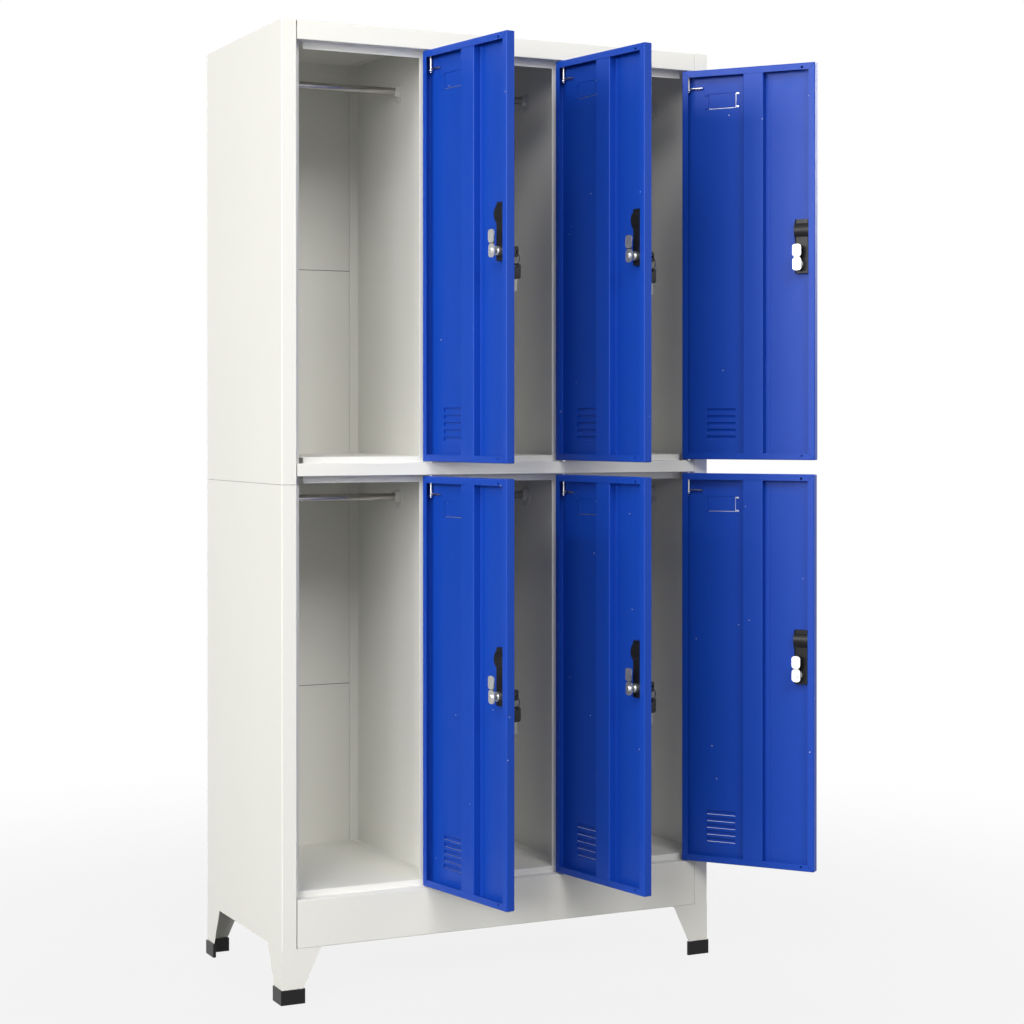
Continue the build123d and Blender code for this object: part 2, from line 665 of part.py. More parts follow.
# ---------------------------------------------------------------- door panel
# A pan folded from one sheet: skin, four edge walls and a lip turned in all round with
# mitred corners.  Louvres and the card frame are pressed outwards.
def door_panel():
    blank = span(FREE_EDGE, HINGE_EDGE, SKIN_OUTER, LIP_INNER, 0, DOOR_HEIGHT)
    pan = fillet(blank.edges(), DOOR_BEND)
    hollow = span(
        FREE_EDGE + SHEET, HINGE_EDGE - SHEET, SKIN_INNER, LIP_UNDER, SHEET, DOOR_HEIGHT - SHEET
    )
    pan -= fillet(hollow.edges(), DOOR_BEND - SHEET)
    pan -= span(
        FREE_EDGE + DOOR_LIP,
        HINGE_EDGE - DOOR_LIP,
        LIP_UNDER - CUT_PAST,
        LIP_INNER + CUT_PAST,
        DOOR_LIP,
        DOOR_HEIGHT - DOOR_LIP,
    )
    # mitre slits across the lip at the four corners, from the bend into the opening
    slit_end = DOOR_LIP + CUT_PAST
    slit_length = (slit_end - DOOR_BEND) * math.sqrt(2)
    slit_centre = (slit_end + DOOR_BEND) / 2
    for x, sign_x in ((FREE_EDGE, 1), (HINGE_EDGE, -1)):
        for z, sign_z in ((0, 1), (DOOR_HEIGHT, -1)):
            slit = Box(slit_length, 2 * SHEET, MITRE_WIDTH)
            turn = -45 * sign_x * sign_z
            place = Pos(x + sign_x * slit_centre, LIP_INNER, z + sign_z * slit_centre)
            pan -= place * Rot(0, turn, 0) * slit
    # buffer holes in the lip near the free edge
    for z in (BUFFER_FROM_END, DOOR_HEIGHT - BUFFER_FROM_END):
        x = FREE_EDGE + BUFFER_FROM_FREE_EDGE
        pan -= rod_along_y(x, LIP_UNDER - CUT_PAST, LIP_INNER + CUT_PAST, z, BUFFER_HOLE)
    # cut-out for the handle housing
    pan -= span(
        HANDLE_X - HANDLE_WIDTH / 2 - HANDLE_CUTOUT_PLAY,
        HANDLE_X + HANDLE_WIDTH / 2 + HANDLE_CUTOUT_PLAY,
        SKIN_OUTER - CUT_PAST,
        SKIN_INNER + CUT_PAST,
        HANDLE_BOTTOM - HANDLE_CUTOUT_PLAY,
        HANDLE_TOP + HANDLE_CUTOUT_PLAY,
    )
    # tab that guides the lower end of the sprung hinge pin
    tab_top = DOOR_HEIGHT - PIN_TAB_BELOW_TOP
    pan += span(
        -PIN_COLLAR_DIAMETER / 2 - PIN_TAB_MARGIN,
        HINGE_EDGE - SHEET,
        SKIN_INNER,
        PIN_COLLAR_DIAMETER / 2,
        tab_top - PIN_TAB_THICKNESS,
        tab_top,
    )
    hole = PIN_DIAMETER + 2 * PIN_FIT
    pan -= upright_rod(0, 0, tab_top - PIN_TAB_THICKNESS - CUT_PAST, DOOR_HEIGHT + CUT_PAST, hole)
    pan -= upright_rod(0, 0, -CUT_PAST, SHEET + CUT_PAST, hole)
    return pan + louvres_raised() + card_ribs() - louvre_throats() - card_grooves()


def louvre_section(bottom, inset):
    """(y, z) outline of one louvre hood; inset is 0 outside and the sheet inside."""
    deep = SKIN_OUTER - LOUVRE_DEPTH + inset
    top = bottom + LOUVRE_HEIGHT - inset
    shoulder = bottom + LOUVRE_FACE_HEIGHT
    middle = (SKIN_OUTER - LOUVRE_CROWN_DEPTH + inset, bottom + LOUVRE_CROWN_HEIGHT - inset)
    lines = [
        Line((SKIN_OUTER + inset, top), (SKIN_INNER + inset, top)),
        Line((SKIN_INNER + inset, top), (SKIN_INNER + inset, bottom)),
        Line((SKIN_INNER + inset, bottom), (deep, bottom)),
        Line((deep, bottom), (deep, shoulder)),
        ThreePointArc((deep, shoulder), middle, (SKIN_OUTER + inset, top)),
    ]
    return make_face(Wire(lines))


def louvre_row(inset):
    centre = HINGE_EDGE - LOUVRE_FROM_HINGE_EDGE
    half = LOUVRE_LENGTH / 2 - inset
    bottoms = [LOUVRE_FIRST + LOUVRE_PITCH * i for i in range(LOUVRE_COUNT)]
    return [along_x(louvre_section(b, inset), centre - half, centre + half) for b in bottoms]


def louvres_raised():
    return Compound(louvre_row(0))


def louvre_throats():
    return Compound(louvre_row(SHEET))


CARD_X = HINGE_EDGE - CARD_FROM_HINGE_EDGE
CARD_Z = DOOR_HEIGHT - CARD_BELOW_TOP


def card_ring(grow, y_low, y_high):
    """Rectangular ring for the card frame, grown or shrunk about the rib's centre line."""
    half_x = CARD_WIDTH / 2
    half_z = CARD_HEIGHT / 2
    inner_x = half_x - CARD_RIB - grow
    inner_z = half_z - CARD_RIB - grow
    outer_x = half_x + grow
    outer_z = half_z + grow
    ring = span(CARD_X - outer_x, CARD_X + outer_x, y_low, y_high, CARD_Z - outer_z, CARD_Z + outer_z)
    window_low = y_low - CUT_PAST
    window_high = y_high + CUT_PAST
    return ring - span(
        CARD_X - inner_x, CARD_X + inner_x, window_low, window_high, CARD_Z - inner_z, CARD_Z + inner_z
    )


def card_ribs():
    """Raised ring, and the four tabs of the card holder clinched over inside the skin."""
    ribs = card_ring(0, SKIN_OUTER - CARD_RIB_RISE, SKIN_OUTER + SHEET / 2)
    tab = Box(CARD_TAB_LENGTH, SHEET / 2 + CARD_TAB_RISE, CARD_TAB_WIDTH)
    tab = fillet(tab.edges().filter_by(Axis.Z).group_by(Axis.Y)[-1], CARD_TAB_RISE / 2)
    tab_y = SKIN_INNER + (CARD_TAB_RISE - SHEET / 2) / 2
    for sign_x in (-1, 1):
        for sign_z in (-1, 1):
            x = CARD_X + sign_x * (CARD_WIDTH + CARD_TAB_LENGTH) / 2
            z = CARD_Z + sign_z * (CARD_HEIGHT / 2 - CARD_RIB)
            ribs += Pos(x, tab_y, z) * tab
    return ribs


def card_grooves():
    return card_ring(-SHEET, SKIN_OUTER - CARD_RIB_RISE + SHEET, SKIN_INNER + CUT_PAST)


# ---------------------------------------------------------------- door stiffener
def stiffener():
    """Hat channel spot-welded up the middle of the skin, its web under the lips."""
    centre = HINGE_EDGE - STIFFENER_FROM_HINGE_EDGE
    half = STIFFENER_WIDTH / 2
    foot = SKIN_INNER + SHEET
    section = folded_face(
        [
            (centre + half + STIFFENER_FOOT, foot),
            (centre + half, foot),
            (centre + half, LIP_UNDER),
            (centre - half, LIP_UNDER),
            (centre - half, foot),
            (centre - half - STIFFENER_FOOT, foot),
        ]
    )
    return along_z(section, STIFFENER_END_PLAY, DOOR_HEIGHT - STIFFENER_END_PLAY)


# ---------------------------------------------------------------- hinge pins
def hinge_pins():
    """Sprung upper pin with its finger arm, and the fixed lower peg with its washer."""
    tip = DOOR_HEIGHT + DOOR_GAP + SHEET + PIN_REACH
    pin = upright_rod(0, 0, DOOR_HEIGHT - PIN_LENGTH_BELOW_TOP, tip, PIN_DIAMETER)
    collar_low = DOOR_HEIGHT - PIN_TAB_BELOW_TOP
    pin += upright_rod(0, 0, collar_low, collar_low + PIN_COLLAR_HEIGHT, PIN_COLLAR_DIAMETER)
    pin += rod_along_x(-PIN_ARM_LENGTH, 0, 0, DOOR_HEIGHT - PIN_ARM_BELOW_TOP, PIN_ARM_DIAMETER)
    peg = upright_rod(0, 0, -DOOR_GAP - SHEET - PIN_REACH, SHEET + PEG_HEAD_HEIGHT, PIN_DIAMETER)
    peg += upright_rod(0, 0, SHEET, SHEET + PEG_HEAD_HEIGHT, PEG_HEAD_DIAMETER)
    peg += upright_rod(0, 0, -DOOR_GAP, 0, PIN_COLLAR_DIAMETER)
    return Compound([pin, peg])


# ---------------------------------------------------------------- handle housing
def handle_housing():
    """Moulded recess for the fingers, with the lock block below it.

    The back of the recess bulges to give the fingertips room behind the bezel.
    """
    left = HANDLE_X - HANDLE_WIDTH / 2
    right = HANDLE_X + HANDLE_WIDTH / 2
    bezel_front = SKIN_OUTER - HANDLE_BEZEL_THICKNESS
    block_top = LOCK_HEIGHT + HANDLE_BLOCK_ABOVE_LOCK
    bezel = span(
        left - HANDLE_BEZEL,
        right + HANDLE_BEZEL,
        bezel_front,
        SKIN_OUTER,
        HANDLE_BOTTOM - HANDLE_BEZEL,
        HANDLE_TOP + HANDLE_BEZEL,
    )
    bezel = fillet(bezel.edges().filter_by(Axis.Y), HANDLE_BEZEL)
    housing = span(left, right, SKIN_OUTER, HANDLE_BACK, HANDLE_BOTTOM, HANDLE_TOP)
    housing = fillet(housing.edges().filter_by(Axis.Z).group_by(Axis.Y)[-1], HANDLE_CORNER)
    recess = span(
        left + HANDLE_WALL,
        right - HANDLE_WALL,
        bezel_front - CUT_PAST,
        HANDLE_BACK - HANDLE_WALL,
        block_top + HANDLE_WALL,
        HANDLE_TOP - HANDLE_WALL,
    )
    recess = fillet(
        recess.edges().filter_by(Axis.Z).group_by(Axis.Y)[-1], HANDLE_CORNER - HANDLE_WALL
    )
    body = bezel + housing + handle_bulge(0) - recess - handle_bulge(HANDLE_WALL)
    bore = PLUG_DIAMETER + 2 * PLUG_FIT
    body -= rod_along_y(LOCK_X, bezel_front - CUT_PAST, HANDLE_BACK + CUT_PAST, LOCK_HEIGHT, bore)
    return body


def handle_bulge(inset):
    """Part of a drum across the back of the recess; inset is the wall for its inside."""
    half = HANDLE_WIDTH / 2 - inset
    axis_y = HANDLE_BACK + HANDLE_BULGE - HANDLE_BULGE_RADIUS
    axis_z = HANDLE_TOP - HANDLE_BULGE_BELOW_TOP
    drum = rod_along_x(
        HANDLE_X - half, HANDLE_X + half, axis_y, axis_z, 2 * (HANDLE_BULGE_RADIUS - inset)
    )
    reach = HANDLE_BULGE_RADIUS + CUT_PAST
    behind = span(
        HANDLE_X - half - CUT_PAST,
        HANDLE_X + half + CUT_PAST,
        HANDLE_BACK - HANDLE_WALL - CUT_PAST,
        HANDLE_BACK + HANDLE_BULGE + CUT_PAST,
        axis_z - reach,
        axis_z + reach,
    )
    return drum & behind


# ---------------------------------------------------------------- lock plug and cam
def cam_pad(z_low, z_high, y_low, y_high):
    """Flat pad with rounded corners on the lock's centre line."""
    half = CAM_WIDTH / 2
    pad = span(LOCK_X - half, LOCK_X + half, y_low, y_high, z_low, z_high)
    return fillet(pad.edges().filter_by(Axis.Y), CAM_CORNER)


def lock_cam():
    """Plug, tail flange, stepped cam and its nut; they turn together with the key."""
    face = SKIN_OUTER - HANDLE_BEZEL_THICKNESS
    flange_end = HANDLE_BACK + PLUG_FLANGE_THICKNESS
    cam_low = SKIN_OUTER + CAM_STANDOFF
    cam_high = cam_low + CAM_THICKNESS
    body = rod_along_y(LOCK_X, face, cam_low, LOCK_HEIGHT, PLUG_DIAMETER)
    body += rod_along_y(LOCK_X, HANDLE_BACK, flange_end, LOCK_HEIGHT, PLUG_FLANGE_DIAMETER)
    lower_end = LOCK_HEIGHT - CAM_PAD_LENGTH / 2
    body += cam_pad(lower_end, lower_end + CAM_PAD_LENGTH, cam_low, cam_high)
    upper_end = LOCK_HEIGHT + CAM_REACH
    body += cam_pad(upper_end - CAM_ARM_LENGTH, upper_end, cam_low + CAM_STEP, cam_high + CAM_STEP)
    # the neck that joins the two pads lies lower than both
    body += span(
        LOCK_X - CAM_NECK_WIDTH / 2,
        LOCK_X + CAM_NECK_WIDTH / 2,
        cam_low,
        cam_low + CAM_NECK_THICKNESS,
        LOCK_HEIGHT,
        upper_end - CAM_ARM_LENGTH / 2,
    )
    hexagon = Plane.XZ * RegularPolygon(CAM_NUT_WIDTH / 2, 6, major_radius=False)
    nut = extrude(hexagon, CAM_NUT_HEIGHT, dir=(0, 1, 0))
    body += Pos(LOCK_X, cam_high, LOCK_HEIGHT) * nut
    body -= key_blade(KEY_SLOT_PLAY)
    return body


def key_blade(play):
    """Flat key blade standing upright in the plug, grown by the play for its slot."""
    face = SKIN_OUTER - HANDLE_BEZEL_THICKNESS
    half_x = KEY_BLADE_THICKNESS / 2 + play
    half_z = KEY_BLADE_HEIGHT / 2 + play
    return span(
        LOCK_X - half_x,
        LOCK_X + half_x,
        face,
        face + KEY_BLADE_LENGTH,
        LOCK_HEIGHT - half_z,
        LOCK_HEIGHT + half_z,
    )


# ---------------------------------------------------------------- key
def key():
    """Key standing in the lock; the bow rests against the plug's face."""
    face = SKIN_OUTER - HANDLE_BEZEL_THICKNESS
    bow = span(
        LOCK_X - KEY_BOW_THICKNESS / 2,
        LOCK_X + KEY_BOW_THICKNESS / 2,
        face - KEY_BOW_LENGTH,
        face,
        LOCK_HEIGHT - KEY_BOW_WIDTH / 2,
        LOCK_HEIGHT + KEY_BOW_WIDTH / 2,
    )
    bow = fillet(bow.edges().filter_by(Axis.X), KEY_BOW_CORNER)
    hole_y = face - KEY_BOW_LENGTH + KEY_RING_HOLE
    hole_half = KEY_BOW_THICKNESS / 2 + CUT_PAST
    bow -= rod_along_x(LOCK_X - hole_half, LOCK_X + hole_half, hole_y, LOCK_HEIGHT, KEY_RING_HOLE)
    return bow + key_blade(0)


# ---------------------------------------------------------------- the six doors
door_pieces = {
    "door_panel": door_panel(),
    "stiffener": stiffener(),
    "hinge_pins": hinge_pins(),
    "handle": handle_housing(),
    "lock_cam": lock_cam(),
    "key": key(),
}
doors = [
    ("upper_left", 0, SHELF_DECK, OPEN_TO_PASS),
    ("upper_middle", 1, SHELF_DECK, OPEN_TO_PASS),
    ("upper_right", 2, SHELF_DECK, OPEN_UPPER_RIGHT),
    ("lower_left", 0, FLOOR_DECK, OPEN_TO_PASS),
    ("lower_middle", 1, FLOOR_DECK, OPEN_TO_PASS),
    ("lower_right", 2, FLOOR_DECK, OPEN_LOWER_RIGHT),
]
for door_name, column, deck, angle in doors:
    stand = Pos(hinge_x(column), HINGE_LINE, deck - UPSTAND + DOOR_GAP) * Rot(0, 0, angle)
    for piece_name, piece in door_pieces.items():
        write(f"{piece_name}_{door_name}", stand * piece)
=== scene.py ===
import json
import math

import bmesh
import bpy
from mathutils import Matrix, Vector


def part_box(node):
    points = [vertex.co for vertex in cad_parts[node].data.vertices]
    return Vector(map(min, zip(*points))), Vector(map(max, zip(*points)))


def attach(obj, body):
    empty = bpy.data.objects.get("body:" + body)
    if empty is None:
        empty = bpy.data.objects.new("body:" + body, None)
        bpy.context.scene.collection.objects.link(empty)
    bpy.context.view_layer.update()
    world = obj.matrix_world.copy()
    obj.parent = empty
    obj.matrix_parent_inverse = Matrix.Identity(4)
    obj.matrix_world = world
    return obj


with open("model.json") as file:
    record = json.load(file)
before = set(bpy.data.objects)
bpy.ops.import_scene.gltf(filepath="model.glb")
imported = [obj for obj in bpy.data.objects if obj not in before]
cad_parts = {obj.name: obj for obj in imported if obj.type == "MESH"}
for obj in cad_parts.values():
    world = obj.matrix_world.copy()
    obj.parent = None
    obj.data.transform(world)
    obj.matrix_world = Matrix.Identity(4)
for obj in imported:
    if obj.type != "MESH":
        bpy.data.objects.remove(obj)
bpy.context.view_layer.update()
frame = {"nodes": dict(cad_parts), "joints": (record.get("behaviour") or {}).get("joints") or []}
scene = bpy.context.scene
scene.view_settings.view_transform = "Standard"

# ------------------------------------------------------------------ studio
# A wide pale floor under the feet, a white surround and large soft lamps.  The floor
# keeps the cabinet's shadow near it and fades into the surround further out.
FLOOR_SIZE = 60.0
FLOOR_TONE = (0.20, 0.20, 0.20, 1.0)
GLOW_AT_FEET = 0.86
GLOW_FAR_OUT = 1.0
FADE_START = 0.6
FADE_END = 2.6
WHITE = (1.0, 1.0, 1.0, 1.0)
SKYLIGHT = (0.95, 0.97, 1.0, 1.0)
SKYLIGHT_STRENGTH = 0.01
LAMP_TINT = (1.0, 0.99, 0.97)
MIDDLE = (0.0, 0.0, 1.0)
LOW_MIDDLE = (0.0, 0.0, 0.9)

floor_shape = bmesh.new()
bmesh.ops.create_grid(floor_shape, x_segments=1, y_segments=1, size=FLOOR_SIZE / 2)
floor_mesh = bpy.data.meshes.new("studio_floor")
floor_shape.to_mesh(floor_mesh)
floor_shape.free()
studio_floor = bpy.data.objects.new("studio_floor", floor_mesh)
scene.collection.objects.link(studio_floor)


def looked_at(tree):
    """Add a factor that is 1 where an eye, a reflection or a clear piece looks."""
    rays = tree.nodes.new("ShaderNodeLightPath")
    factor = rays.outputs["Is Camera Ray"]
    for kind in ("Is Glossy Ray", "Is Transmission Ray"):
        either = tree.nodes.new("ShaderNodeMath")
        either.operation = "MAXIMUM"
        tree.links.new(factor, either.inputs[0])
        tree.links.new(rays.outputs[kind], either.inputs[1])
        factor = either.outputs["Value"]
    return factor


floor_paint = bpy.data.materials.new("studio_floor_paint")
floor_paint.use_nodes = True
tree = floor_paint.node_tree
tree.nodes.clear()
output = tree.nodes.new("ShaderNodeOutputMaterial")
lit = tree.nodes.new("ShaderNodeBsdfDiffuse")
lit.inputs["Color"].default_value = FLOOR_TONE
glow = tree.nodes.new("ShaderNodeEmission")
glow.inputs["Color"].default_value = WHITE
place = tree.nodes.new("ShaderNodeTexCoord")
distance = tree.nodes.new("ShaderNodeVectorMath")
distance.operation = "LENGTH"
fade = tree.nodes.new("ShaderNodeMapRange")
fade.interpolation_type = "SMOOTHSTEP"
fade.inputs["From Min"].default_value = FADE_START
fade.inputs["From Max"].default_value = FADE_END
fade.inputs["To Min"].default_value = GLOW_AT_FEET
fade.inputs["To Max"].default_value = GLOW_FAR_OUT
amount = tree.nodes.new("ShaderNodeMath")
amount.operation = "MULTIPLY"
blend = tree.nodes.new("ShaderNodeMixShader")
tree.links.new(place.outputs["Object"], distance.inputs[0])
tree.links.new(distance.outputs["Value"], fade.inputs["Value"])
tree.links.new(looked_at(tree), amount.inputs[0])
tree.links.new(fade.outputs["Result"], amount.inputs[1])
tree.links.new(amount.outputs["Value"], blend.inputs["Fac"])
tree.links.new(lit.outputs["BSDF"], blend.inputs[1])
tree.links.new(glow.outputs["Emission"], blend.inputs[2])
tree.links.new(blend.outputs["Shader"], output.inputs["Surface"])
floor_mesh.materials.append(floor_paint)

surround = bpy.data.worlds.new("studio_surround")
surround.use_nodes = True
scene.world = surround
tree = surround.node_tree
tree.nodes.clear()
output = tree.nodes.new("ShaderNodeOutputWorld")
soft = tree.nodes.new("ShaderNodeBackground")
soft.inputs["Color"].default_value = SKYLIGHT
soft.inputs["Strength"].default_value = SKYLIGHT_STRENGTH
white = tree.nodes.new("ShaderNodeBackground")
white.inputs["Color"].default_value = WHITE
white.inputs["Strength"].default_value = 1.0
blend = tree.nodes.new("ShaderNodeMixShader")
tree.links.new(looked_at(tree), blend.inputs["Fac"])
tree.links.new(soft.outputs["Background"], blend.inputs[1])
tree.links.new(white.outputs["Background"], blend.inputs[2])
tree.links.new(blend.outputs["Shader"], output.inputs["Surface"])


def softbox(name, place, target, edge, watts):
    """Stand a square soft lamp at a place and turn it towards a target."""
    lamp = bpy.data.lights.new(name, "AREA")
    lamp.shape = "RECTANGLE"
    lamp.size = edge
    lamp.size_y = edge
    lamp.energy = watts
    lamp.color = LAMP_TINT
    stand = bpy.data.objects.new(name, lamp)
    stand.location = place
    aim = Vector(target) - Vector(place)
    stand.rotation_euler = aim.to_track_quat("-Z", "Y").to_euler()
    scene.collection.objects.link(stand)


softbox("left_softbox", (-6.0, -2.2, 2.6), MIDDLE, 2.4, 232.0)
softbox("corner_softbox", (-4.4, -4.4, 2.2), MIDDLE, 2.4, 148.0)
softbox("high_corner_softbox", (-5.1, -5.7, 6.7), MIDDLE, 3.4, 242.0)
softbox("high_front_softbox", (-0.6, -7.2, 6.1), MIDDLE, 3.4, 313.0)
softbox("right_softbox", (3.6, -4.2, 2.2), MIDDLE, 2.4, 26.0)
softbox("side_softbox", (5.5, 0.8, 3.0), LOW_MIDDLE, 2.4, 170.0)
softbox("rear_softbox", (0.8, 5.2, 3.0), LOW_MIDDLE, 2.4, 170.0)

# ------------------------------------------------------------------ camera
# It stands to the left of the cabinet's front, a little above its middle and level, so
# that upright edges stay upright.  The frame is shifted down instead of tilted.
EYE = (-1.79343, -3.96975, 1.06656)
TILT = 89.771
TURN = -26.118

view = bpy.data.cameras.new("camera")
view.sensor_width = 36.0
view.lens = 76.378
view.shift_x = -0.01336
view.shift_y = -0.08036
camera = bpy.data.objects.new("camera", view)
camera.location = EYE
camera.rotation_euler = (math.radians(TILT), 0.0, math.radians(TURN))
scene.collection.objects.link(camera)
scene.camera = camera

# ------------------------------------------------------------------ carcass sheets
# Folded sheet steel, powder coated off-white.  The coat has a fine orange peel and a
# satin sheen that varies a little over each sheet.
CARCASS_COAT = (0.805, 0.800, 0.755)
CARCASS_COAT_DEEPER = (0.785, 0.780, 0.732)
COAT_INDEX = 1.5
COAT_SHEEN_DRIFT = 0.05
COAT_GRAIN_HEIGHT = 0.0002
CHIP_SPACING = 25.0
CHIP_REACH = 0.028
CHIP_TONE = (0.55, 0.56, 0.56, 1.0)
# The colour sockets of a Mix node, which share their names with its other sockets.
MIX_FIRST = 6
MIX_SECOND = 7
MIX_RESULT = 2

nodes = frame["nodes"]


def new_finish(name):
    """Start a finish: its tree, its surface shader and the piece's own coordinates."""
    finish = bpy.data.materials.new(name)
    finish.use_nodes = True
    tree = finish.node_tree
    tree.nodes.clear()
    output = tree.nodes.new("ShaderNodeOutputMaterial")
    surface = tree.nodes.new("ShaderNodeBsdfPrincipled")
    place = tree.nodes.new("ShaderNodeTexCoord")
    tree.links.new(surface.outputs["BSDF"], output.inputs["Surface"])
    return finish, tree, surface, place.outputs["Object"]


def noise(tree, place, scale, detail):
    """Add a cloudy pattern over the piece's own coordinates."""
    pattern = tree.nodes.new("ShaderNodeTexNoise")
    pattern.inputs["Scale"].default_value = scale
    pattern.inputs["Detail"].default_value = detail
    tree.links.new(place, pattern.inputs["Vector"])
    return pattern.outputs["Fac"]


def two_tones(tree, pattern, deeper, lighter):
    """Mix two tones of a colour by a pattern."""
    tone = tree.nodes.new("ShaderNodeMix")
    tone.data_type = "RGBA"
    tone.inputs[MIX_FIRST].default_value = (*deeper, 1.0)
    tone.inputs[MIX_SECOND].default_value = (*lighter, 1.0)
    tree.links.new(pattern, tone.inputs["Factor"])
    return tone.outputs[MIX_RESULT]


def vary_sheen(tree, surface, pattern, glossiest, dullest):
    """Let a pattern vary the roughness between two values."""
    sheen = tree.nodes.new("ShaderNodeMapRange")
    sheen.inputs["To Min"].default_value = glossiest
    sheen.inputs["To Max"].default_value = dullest
    tree.links.new(pattern, sheen.inputs["Value"])
    tree.links.new(sheen.outputs["Result"], surface.inputs["Roughness"])


def raise_grain(tree, surface, pattern, strength, height):
    """Let a pattern stand proud of the surface as a fine relief."""
    relief = tree.nodes.new("ShaderNodeBump")
    relief.inputs["Strength"].default_value = strength
    relief.inputs["Distance"].default_value = height
    tree.links.new(pattern, relief.inputs["Height"])
    tree.links.new(relief.outputs["Normal"], surface.inputs["Normal"])


def chipped(tree, place, tone):
    """Let the metal show in small spots where the coat was knocked off."""
    spots = tree.nodes.new("ShaderNodeTexVoronoi")
    spots.inputs["Scale"].default_value = CHIP_SPACING
    spots.inputs["Randomness"].default_value = 1.0
    near = tree.nodes.new("ShaderNodeMath")
    near.operation = "LESS_THAN"
    near.inputs[1].default_value = CHIP_REACH
    worn = tree.nodes.new("ShaderNodeMix")
    worn.data_type = "RGBA"
    worn.inputs[MIX_SECOND].default_value = CHIP_TONE
    tree.links.new(place, spots.inputs["Vector"])
    tree.links.new(spots.outputs["Distance"], near.inputs[0])
    tree.links.new(near.outputs["Value"], worn.inputs["Factor"])
    tree.links.new(tone, worn.inputs[MIX_FIRST])
    return worn.outputs[MIX_RESULT]


def powder_coat(name, colour, deeper, roughness, peel, shine, chips=False):
    """Sprayed and baked coat: a faint drift in tone, a varying sheen and orange peel."""
    coat, tree, surface, place = new_finish(name)
    surface.inputs["IOR"].default_value = COAT_INDEX
    surface.inputs["Specular IOR Level"].default_value = shine
    drift = noise(tree, place, scale=5.0, detail=3.0)
    mottle = noise(tree, place, scale=60.0, detail=4.0)
    grain = noise(tree, place, scale=700.0, detail=2.0)
    tone = two_tones(tree, drift, deeper, colour)
    if chips:
        tone = chipped(tree, place, tone)
    tree.links.new(tone, surface.inputs["Base Color"])
    vary_sheen(tree, surface, mottle, roughness - COAT_SHEEN_DRIFT, roughness + COAT_SHEEN_DRIFT)
    raise_grain(tree, surface, grain, peel, COAT_GRAIN_HEIGHT)
    return coat


def coat_node(name, finish):
    """Give a CAD node one finish."""
    mesh = nodes[name].data
    mesh.materials.clear()
    mesh.materials.append(finish)


def recoat_faces(name, finish, chosen):
    """Give the faces that a test picks another finish."""
    mesh = nodes[name].data
    mesh.materials.append(finish)
    for face in mesh.polygons:
        if chosen(face):
            face.material_index = len(mesh.materials) - 1


carcass_coat = powder_coat(
    "carcass_powder_coat", CARCASS_COAT, CARCASS_COAT_DEEPER, roughness=0.42, peel=0.25, shine=0.5
)
for half in ("upper", "lower"):
    for hand in ("left", "right"):
        coat_node(f"side_{half}_{hand}", carcass_coat)
        coat_node(f"partition_{half}_{hand}", carcass_coat)
for level in ("top_panel", "middle_shelf", "bottom_panel"):
    coat_node(level, carcass_coat)
for number in (1, 2, 3, 4):
    coat_node(f"back_panel_{number}", carcass_coat)

# ------------------------------------------------------------------ painted shade in the seams
# Where one back sheet laps another behind an open seam, the covered face gets a near-black
# painted shade, and the ends of the shelf behind the side seams get a mid-grey painted shade.
# Both stand in for the shade inside the narrow gaps.
PAINTED_LAP_SHADE = (0.085, 0.085, 0.082)
PAINTED_LAP_SHADE_DEEPER = (0.050, 0.050, 0.048)
PAINTED_SHELF_END_SHADE = (0.34, 0.34, 0.32)
PAINTED_SHELF_END_SHADE_DEEPER = (0.28, 0.28, 0.26)
LAP_FACE = 0.2190
SHELF_END = 0.4490
SQUARELY = 0.9

# Painted shade: a near-black coat on the lapped faces, seen through the back seams.
painted_lap_shade_finish = powder_coat(
    "painted_lap_shade", PAINTED_LAP_SHADE, PAINTED_LAP_SHADE_DEEPER, roughness=0.55, peel=0.15, shine=0.3
)
for number in (1, 2, 3):
    recoat_faces(
        f"back_panel_{number}",
        painted_lap_shade_finish,
        lambda face: face.normal.y < -SQUARELY and face.center.y > LAP_FACE,
    )
# Painted shade: a mid-grey coat on the shelf's end flanges, seen through the side seams.
painted_shelf_end_shade_finish = powder_coat(
    "painted_shelf_end_shade", PAINTED_SHELF_END_SHADE, PAINTED_SHELF_END_SHADE_DEEPER, roughness=0.50, peel=0.20, shine=0.3
)
recoat_faces("middle_shelf", painted_shelf_end_shade_finish, lambda face: abs(face.center.x) > SHELF_END)

# ------------------------------------------------------------------ floor corner tabs
# Small tabs of 0.7 mm sheet in the same coat, one behind each end of the floor's front
# upstand, where they close the slot between it and the side's stop flange.
TAB_WIDTH = 0.0130
TAB_THICKNESS = 0.0007
TAB_INNER_EDGE = 0.3980
TAB_FRONT = -0.1951
TAB_LOW = 0.1872
TAB_HIGH = 0.1991

tab_shape = bmesh.new()
tab_extent = Matrix.Diagonal((TAB_WIDTH, TAB_THICKNESS, TAB_HIGH - TAB_LOW, 1.0))
for side in (-1, 1):
    tab_middle = Matrix.Translation(
        (
            side * (TAB_INNER_EDGE + TAB_WIDTH / 2),
            TAB_FRONT + TAB_THICKNESS / 2,
            (TAB_LOW + TAB_HIGH) / 2,
        )
    )
    bmesh.ops.create_cube(tab_shape, size=1.0, matrix=tab_middle @ tab_extent)
tab_mesh = bpy.data.meshes.new("floor_corner_tabs")
tab_shape.to_mesh(tab_mesh)
tab_shape.free()
tab_mesh.materials.append(carcass_coat)
corner_tabs = bpy.data.objects.new("floor_corner_tabs", tab_mesh)
scene.collection.objects.link(corner_tabs)
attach(corner_tabs, "carcass")

